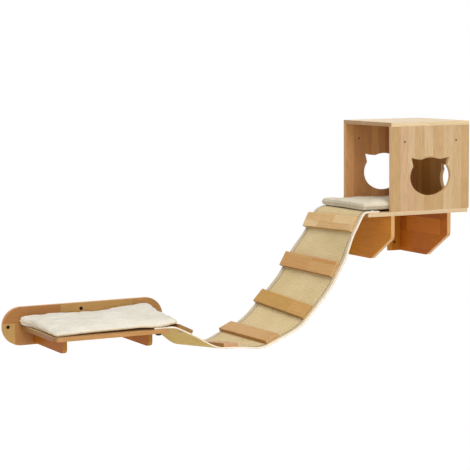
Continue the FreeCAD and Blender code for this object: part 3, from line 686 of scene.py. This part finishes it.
# Fasteners: screws and washers under the slats, on the bridge's upper end and through the back plate, of
# zinc-plated steel, and bolts through the shelf at its lower end, closed below with oxide-blacked cap nuts.
def hard_finish(name, light, dark, rough, metallic):
    # Plating clouds are 2.9 mm wide. Tool marks are 0.05 mm wide, too fine to show, so they are drawn 0.17 mm
    # wide and 1.1 mm long.
    cloud_wide, mark_wide, mark_long = 2.857, 0.1667, 1.111
    mat = blank_material(name)
    coords = add(mat, "TexCoord")["Object"]
    cloud = add(mat, "TexNoise", {"Vector": coords, "Scale": 1000 / cloud_wide, "Detail": 4.0})[0]
    marks = (1000 / mark_long, 1000 / mark_wide, 1000 / mark_long)
    marks = add(mat, "Mapping", {"Vector": coords, "Scale": marks})[0]
    marks = add(mat, "TexNoise", {"Vector": marks, "Scale": 1.0, "Detail": 2.0})[0]
    shader = add(mat, "BsdfPrincipled", {
        "Base Color": add(mat, "Mix", {0: cloud, 6: linear(dark), 7: linear(light)}, data_type="RGBA")[2],
        "Metallic": metallic,
        "Roughness": add(mat, "MapRange", {"Value": marks, 3: rough - 0.08, 4: rough + 0.10})[0],
        "Normal": add(mat, "Bump", {"Height": marks, "Strength": 0.15, "Distance": 0.00005})[0],
    })
    add(mat, "OutputMaterial", {"Surface": shader[0]})
    return mat


# Zinc plating: a bright bluish grey with clouded reflections. Oxide: nearly black, with a dull brown sheen.
zinc = hard_finish("bright zinc-plated steel", "#c9ccd0", "#a3a6ab", 0.32, 1.0)
# On the wall screws below, this near black is painted shade for the holes they sit in
dark_steel_and_hole_shade = hard_finish("dark oxide steel and painted hole shade", "#352e28", "#1e1a16", 0.45, 1.0)
for node in ("perch_plate_screws", "bridge_slat_screws", "bridge_slat_washers", "upper_end_washers",
             "upper_end_screws", "lower_end_washers", "lower_end_bolts"):
    finish_node(node, zinc)
finish_node("lower_end_cap_nuts", dark_steel_and_hole_shade)

# Wall screws: steel with a cross recess, countersunk in cup washers on the back plate and round-headed on the
# back panel and the flanges. Their near black is painted shade, which stands in for the dark holes they sit
# in.
# They are driven into the wall and end here at its face.
# Each profile gives radius and depth behind the board's face; each hole is given by x and z, all in mm.
board_thick, round_sides, recess_radius = 15.0, 24, 2
sunk_head = ((0.3, 1.9), (1.5, 1.1), (1.9, 0.4), (4.2, 0.3), (4.7, 0.3), (5.4, -0.7), (6.3, -0.5), (6.7, 0.0),
             (4.7, 0.1), (2.2, 3.0), (2.2, board_thick))
round_head = ((0.3, 0.5), (1.1, -0.5), (1.4, -1.7), (2.5, -1.4), (3.3, -0.5), (3.3, 0.0), (2.1, 0.1),
              (2.1, board_thick))
wide_head = ((0.3, 0.4), (1.4, -0.6), (1.8, -2.1), (3.2, -1.8), (4.4, -0.6), (4.4, 0.0), (2.6, 0.1),
             (2.6, board_thick))
panel_holes = ((1170, 635), (1400, 635))
wall_holes = {
    "plate": (sunk_head, ((-295, 0), (295, 0), (-12, 48))),
    "back_panel": (round_head, panel_holes),
    "flanges": (wide_head, ((1084, 215.5), (1084, 325.5), (1336, 215.5), (1336, 325.5))),
}
for group, (profile, holes) in wall_holes.items():
    bm = bmesh.new()
    for x, z in holes:
        rings = []
        for radius, depth in profile:
            centre = Vector((x, depth - board_thick, z)) / 1000
            rings.append(ring_of(bm, centre, radius, round_sides, 0.3 if radius < recess_radius else 0.0))
        skin(bm, rings, False)
    screws = made_of("wall_screws_" + group, bm)
    screws.data.materials.append(dark_steel_and_hole_shade)
    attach(screws, "wall_frame")

# Hole bushes: thin moulded nylon sleeves with a small collar, in the front panel's pair of holes, near black
# as painted shade for the dark inside of the holes. They are pushed in from the room side and hold by their
# fit.

# Moulded nylon: near black, which is painted shade for the holes, with a broad soft sheen and no metal's
# reflections
nylon = hard_finish("moulded black nylon, painted hole shade", "#2a2420", "#171310", 0.55, 0.0)
panel_face = -350.0
bush_profile = ((2.45, board_thick), (2.45, 0.1), (3.5, 0.0), (3.6, -0.3), (3.3, -0.6), (2.1, -0.5),
                (1.7, 0.1), (1.7, board_thick))
bm = bmesh.new()
for x, z in panel_holes:
    rings = []
    for radius, depth in bush_profile:
        rings.append(ring_of(bm, Vector((x, depth + panel_face, z)) / 1000, radius, round_sides))
    skin(bm, rings, True, closed=True)
bushes = made_of("front_panel_hole_shade_bushes", bm)
bushes.data.materials.append(nylon)
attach(bushes, "wall_frame")


# Perch cushion: a loosely stuffed cotton cover sewn round the middle of its edge, with a piped seam. It lies
# loose on the shelf. Its stuffing has moved into lumps, highest at the back plate near the bridge, and it
# puckers at the seam.
def cotton(name, light, dark):
    # Washed plain cotton gives a soft matt white with a faint bloom, and broad folds that catch the light.
    # Sizes in mm. Threads are 0.4 mm apart, too fine to show, so they are drawn 1.1 mm apart, with thick
    # places 17 mm long. The folds are 29 to 45 mm wide, and tones drift over 71 mm.
    thread_pitch, slub_long, slub_wide, drift = 1.1, 16.67, 1.111, 71.43
    fold_sizes = (45.45, 29.41, 33.33)
    mat = blank_material(name)
    coords = add(mat, "TexCoord")["Object"]
    split = add(mat, "SeparateXYZ", {0: coords})
    waves = []
    for k in (0, 1):
        turn = add(mat, "Math", {0: split[k], 1: math.tau / thread_pitch * 1000}, operation="MULTIPLY")[0]
        waves.append(add(mat, "Math", {0: turn}, operation="SINE")[0])
    cross = add(mat, "Math", {0: waves[0], 1: waves[1]}, operation="MULTIPLY")[0]
    slubs = (1000 / slub_long, 1000 / slub_wide, 1000 / slub_wide)
    slub = add(mat, "Mapping", {"Vector": coords, "Scale": slubs})[0]
    slub = add(mat, "TexNoise", {"Vector": slub, "Scale": 1.0, "Detail": 3.0})[0]
    given = {"Vector": coords, "Scale": 1000 / drift, "Detail": 5.0, "Roughness": 0.6}
    patch = add(mat, "TexNoise", given)[0]
    tone = add(mat, "Math", {0: patch, 1: 0.5}, operation="MULTIPLY")[0]
    tone = add(mat, "Math", {0: slub, 1: 0.5, 2: tone}, operation="MULTIPLY_ADD")[0]
    given = {"Value": tone, 1: 0.32, 2: 0.66, 3: 0.0, 4: 1.0}
    tone = add(mat, "MapRange", given, interpolation_type="SMOOTHSTEP")[0]
    folds = add(mat, "Mapping", {"Vector": coords, "Scale": [1000 / size for size in fold_sizes]})[0]
    folds = add(mat, "TexNoise", {"Vector": folds, "Scale": 1.0, "Detail": 3.0, "Distortion": 1.6})[0]
    folds = add(mat, "Bump", {"Height": folds, "Strength": 0.5, "Distance": 0.006})[0]
    height = add(mat, "Math", {0: cross, 1: slub}, operation="ADD")[0]
    given = {"Height": height, "Strength": 0.4, "Distance": 0.0002, "Normal": folds}
    shader = add(mat, "BsdfPrincipled", {
        "Base Color": add(mat, "Mix", {0: tone, 6: linear(dark), 7: linear(light)}, data_type="RGBA")[2],
        "Roughness": add(mat, "MapRange", {"Value": patch, 3: 0.86, 4: 0.94})[0],
        "Normal": add(mat, "Bump", given)[0],
        "Specular IOR Level": 0.2,
        "Sheen Weight": 0.25,
        "Sheen Roughness": 0.5,
    })
    add(mat, "OutputMaterial", {"Surface": shader[0]})
    return mat


def applied(made):
    graph = bpy.context.evaluated_depsgraph_get()
    made.data = bpy.data.meshes.new_from_object(made.evaluated_get(graph))
    made.modifiers.clear()


# The cover is blown up from inside, no point by more than the cap, and then lumped, puckered at its seam and
# pulled out at its corners. All its sizes are in metres.
def stuffed(name, node, mat, cap, lump, seed, humps, ears):
    made = put(name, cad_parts[node].data.copy())
    made.data.materials.clear()
    made.data.materials.append(mat)
    voxel, pressure, solver_steps = 0.0055, 4.0, 20
    remesh = made.modifiers.new("remesh", "REMESH")
    remesh.mode = "VOXEL"
    remesh.voxel_size = voxel
    applied(made)
    rest = [vert.co.copy() for vert in made.data.vertices]
    cloth = made.modifiers.new("cloth", "CLOTH")
    cloth.settings.use_pressure = True
    cloth.settings.uniform_pressure_force = pressure
    cloth.settings.effector_weights.gravity = 0.0
    for k in range(1, solver_steps + 1):
        bpy.context.scene.frame_set(k)
    applied(made)
    bpy.context.scene.frame_set(1)
    for vert, old in zip(made.data.vertices, rest):
        step = vert.co - old
        if step.length > cap:
            vert.co = old + step * (cap / step.length)
    smooth = made.modifiers.new("smooth", "SUBSURF")
    smooth.levels = smooth.render_levels = 1
    applied(made)

    # Lumps as a share of the full height, how many there are to the metre each way, and their seed; puckers
    # 22 mm apart (46 to the metre) within 55 mm of the edge
    lumps = ((1.0, 10, 12, 0), (0.5, 23, 23, 5), (0.35, 38, 62, 3))
    pucker_rise, pucker_reach, puckers_round, puckers_in = 0.0026, 0.055, 46, 8
    low, high = (Vector(corner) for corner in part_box(node))
    outward = [vert.normal.copy() for vert in made.data.vertices]
    for vert, out in zip(made.data.vertices, outward):
        co = vert.co.copy()
        end_gap = min(co.x - low.x, high.x - co.x)
        side_gap = min(co.y - low.y, high.y - co.y)
        inset = min(end_gap, side_gap)
        around = co.y if end_gap < side_gap else co.x
        pucker = pucker_rise * max(0.0, 1 - inset / pucker_reach)
        pucker *= noise.noise(Vector((around * puckers_round, inset * puckers_in, seed + 9)))
        rise = 0.0
        for share, across, deep, shift in lumps:
            rise += lump * share * noise.noise(Vector((co.x * across, co.y * deep, seed + shift)))
        for middle, reach, lift in humps:
            away = (co.xy - Vector(middle)).length / reach
            rise += lift * math.exp(-away * away)
        if out.z > -0.5:
            vert.co = co + out * pucker + Vector((0, 0, rise * max(0.0, out.z)))
        for corner, reach, pull in ears:
            away = math.hypot((co.x - corner[0]) / reach[0], (co.y - corner[1]) / reach[1])
            vert.co += Vector(pull) * math.exp(-away * away)
    for face in made.data.polygons:
        face.use_smooth = True
    return made


# A cord along the widest line of the cushion's edge, found by looking in at it from outside at each height.
# All its sizes are in metres.
def piping(name, made, radius, mat):
    corner_inset, corner_steps, cord_step, height_step, far = 0.035, 8, 0.006, 0.0015, 0.08
    nearly_widest, smoothed_over = 0.0008, 15
    mesh = made.data
    tree = BVHTree.FromPolygons([v.co for v in mesh.vertices], [f.vertices for f in mesh.polygons])
    co = np.array([v.co for v in mesh.vertices])
    low, high = co.min(0), co.max(0)
    starts = []
    for k, (sx, sy) in enumerate(((1, 1), (-1, 1), (-1, -1), (1, -1))):
        corner = Vector((high[0] - corner_inset if sx > 0 else low[0] + corner_inset,
                         high[1] - corner_inset if sy > 0 else low[1] + corner_inset))
        for step in range(corner_steps + 1):
            a = (k + step / corner_steps) * math.pi / 2
            starts.append((corner, Vector((math.cos(a), math.sin(a)))))
        ahead = Vector((-sx * (high[0] - low[0] - 2 * corner_inset), 0) if sx * sy > 0
                       else (0, -sy * (high[1] - low[1] - 2 * corner_inset)))
        pieces = round(ahead.length / cord_step)
        for step in range(1, pieces):
            starts.append((corner + ahead * step / pieces, starts[-1][1]))
    heights = np.arange(low[2] + 0.002, high[2], height_step)

    def reach(at, out, z):
        hit = tree.ray_cast(Vector((*(at + out * far), z)), Vector((*-out, 0.0)), far)
        return -1.0 if hit[0] is None else far - hit[3]

    seam = []
    for at, out in starts:
        reaches = [reach(at, out, z) for z in heights]
        best = max(reaches)
        seam.append(np.mean([z for z, out_to in zip(heights, reaches) if out_to > best - nearly_widest]))
    beside = smoothed_over // 2
    window = np.ones(smoothed_over) / smoothed_over
    seam = np.convolve(np.concatenate((seam[-beside:], seam, seam[:beside])), window, "valid")
    curve = bpy.data.curves.new(name, "CURVE")
    curve.dimensions = "3D"
    curve.bevel_depth = radius
    curve.bevel_resolution = 3
    line = curve.splines.new("POLY")
    line.points.add(len(starts) - 1)
    for point, (at, out), z in zip(line.points, starts, seam):
        point.co = (*(at + out * (reach(at, out, z) + radius * 0.5)), z, 1.0)
    line.use_cyclic_u = True
    curve.materials.append(mat)
    return put(name, curve)


# Washed cotton: the cover is a clean soft white, and its piping a darker cream, which is painted shade along
# the seam
perch_cotton = cotton("natural cotton cover, perch", "#e8e5dd", "#dad6ca")
perch_piping_painted_shade_cotton = cotton("cotton piping, perch", "#dccdb0", "#c9b795")
# Humps: place, reach and rise of the stuffing. Ears: place, reach and pull of the cover's corners and edges.
perch_humps = (((0.150, -0.050), 0.060, 0.004), ((-0.150, -0.050), 0.080, 0.004),
               ((-0.010, -0.050), 0.080, -0.007))
perch_ears = (
    ((-0.240, -0.023), (0.050, 0.050), (-0.018, 0.0, 0.002)),
    ((0.225, -0.050), (0.075, 0.075), (0.042, 0.0, 0.006)),
    ((0.235, -0.180), (0.080, 0.080), (0.016, 0.0, 0.008)),
    ((0.225, -0.300), (0.070, 0.070), (0.018, -0.001, 0.006)),
    ((0.150, -0.345), (0.050, 0.060), (0.0, -0.013, -0.002)),
    ((0.150, -0.338), (0.042, 0.011), (0.0, 0.0, -0.009)),
    ((0.020, -0.338), (0.120, 0.011), (0.0, -0.003, -0.004)),
)
perch_cushion = stuffed("perch_cushion_cover", "perch_cushion", perch_cotton, 0.006, 0.005, 2.0,
                        perch_humps, perch_ears)
perch_piping = piping("perch_cushion_piping", perch_cushion, 0.0028, perch_piping_painted_shade_cotton)
for piece in (perch_cushion, perch_piping):
    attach(piece, "perch_pad")
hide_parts("perch_cushion")

# House cushion: a cotton cover of the same make, filled harder, with thinner piping. It lies loose on the
# platform inside the house, and slumps over the platform's end on to the bridge.

# Washed cotton, less bleached: a yellower white than the perch's, with piping of nearly its own tone
house_cotton = cotton("natural cotton cover, house", "#e2dccb", "#cfc6b2")
house_seam_cotton = cotton("cotton piping, house", "#d3cab6", "#bdb39c")
house_humps = (((1.030, -0.080), 0.060, 0.002), ((1.160, -0.120), 0.150, -0.010),
               ((1.095, -0.300), 0.045, 0.004), ((1.045, -0.320), 0.025, -0.003))
house_ears = (((1.000, -0.021), (0.040, 0.040), (-0.004, 0.0, 0.0)),)
house_cushion = stuffed("house_cushion_cover", "house_cushion", house_cotton, 0.004, 0.006, 11.0,
                        house_humps, house_ears)
house_piping = piping("house_cushion_piping", house_cushion, 0.0020, house_seam_cotton)
for piece in (house_cushion, house_piping):
    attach(piece, "house_pad")
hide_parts("house_cushion")
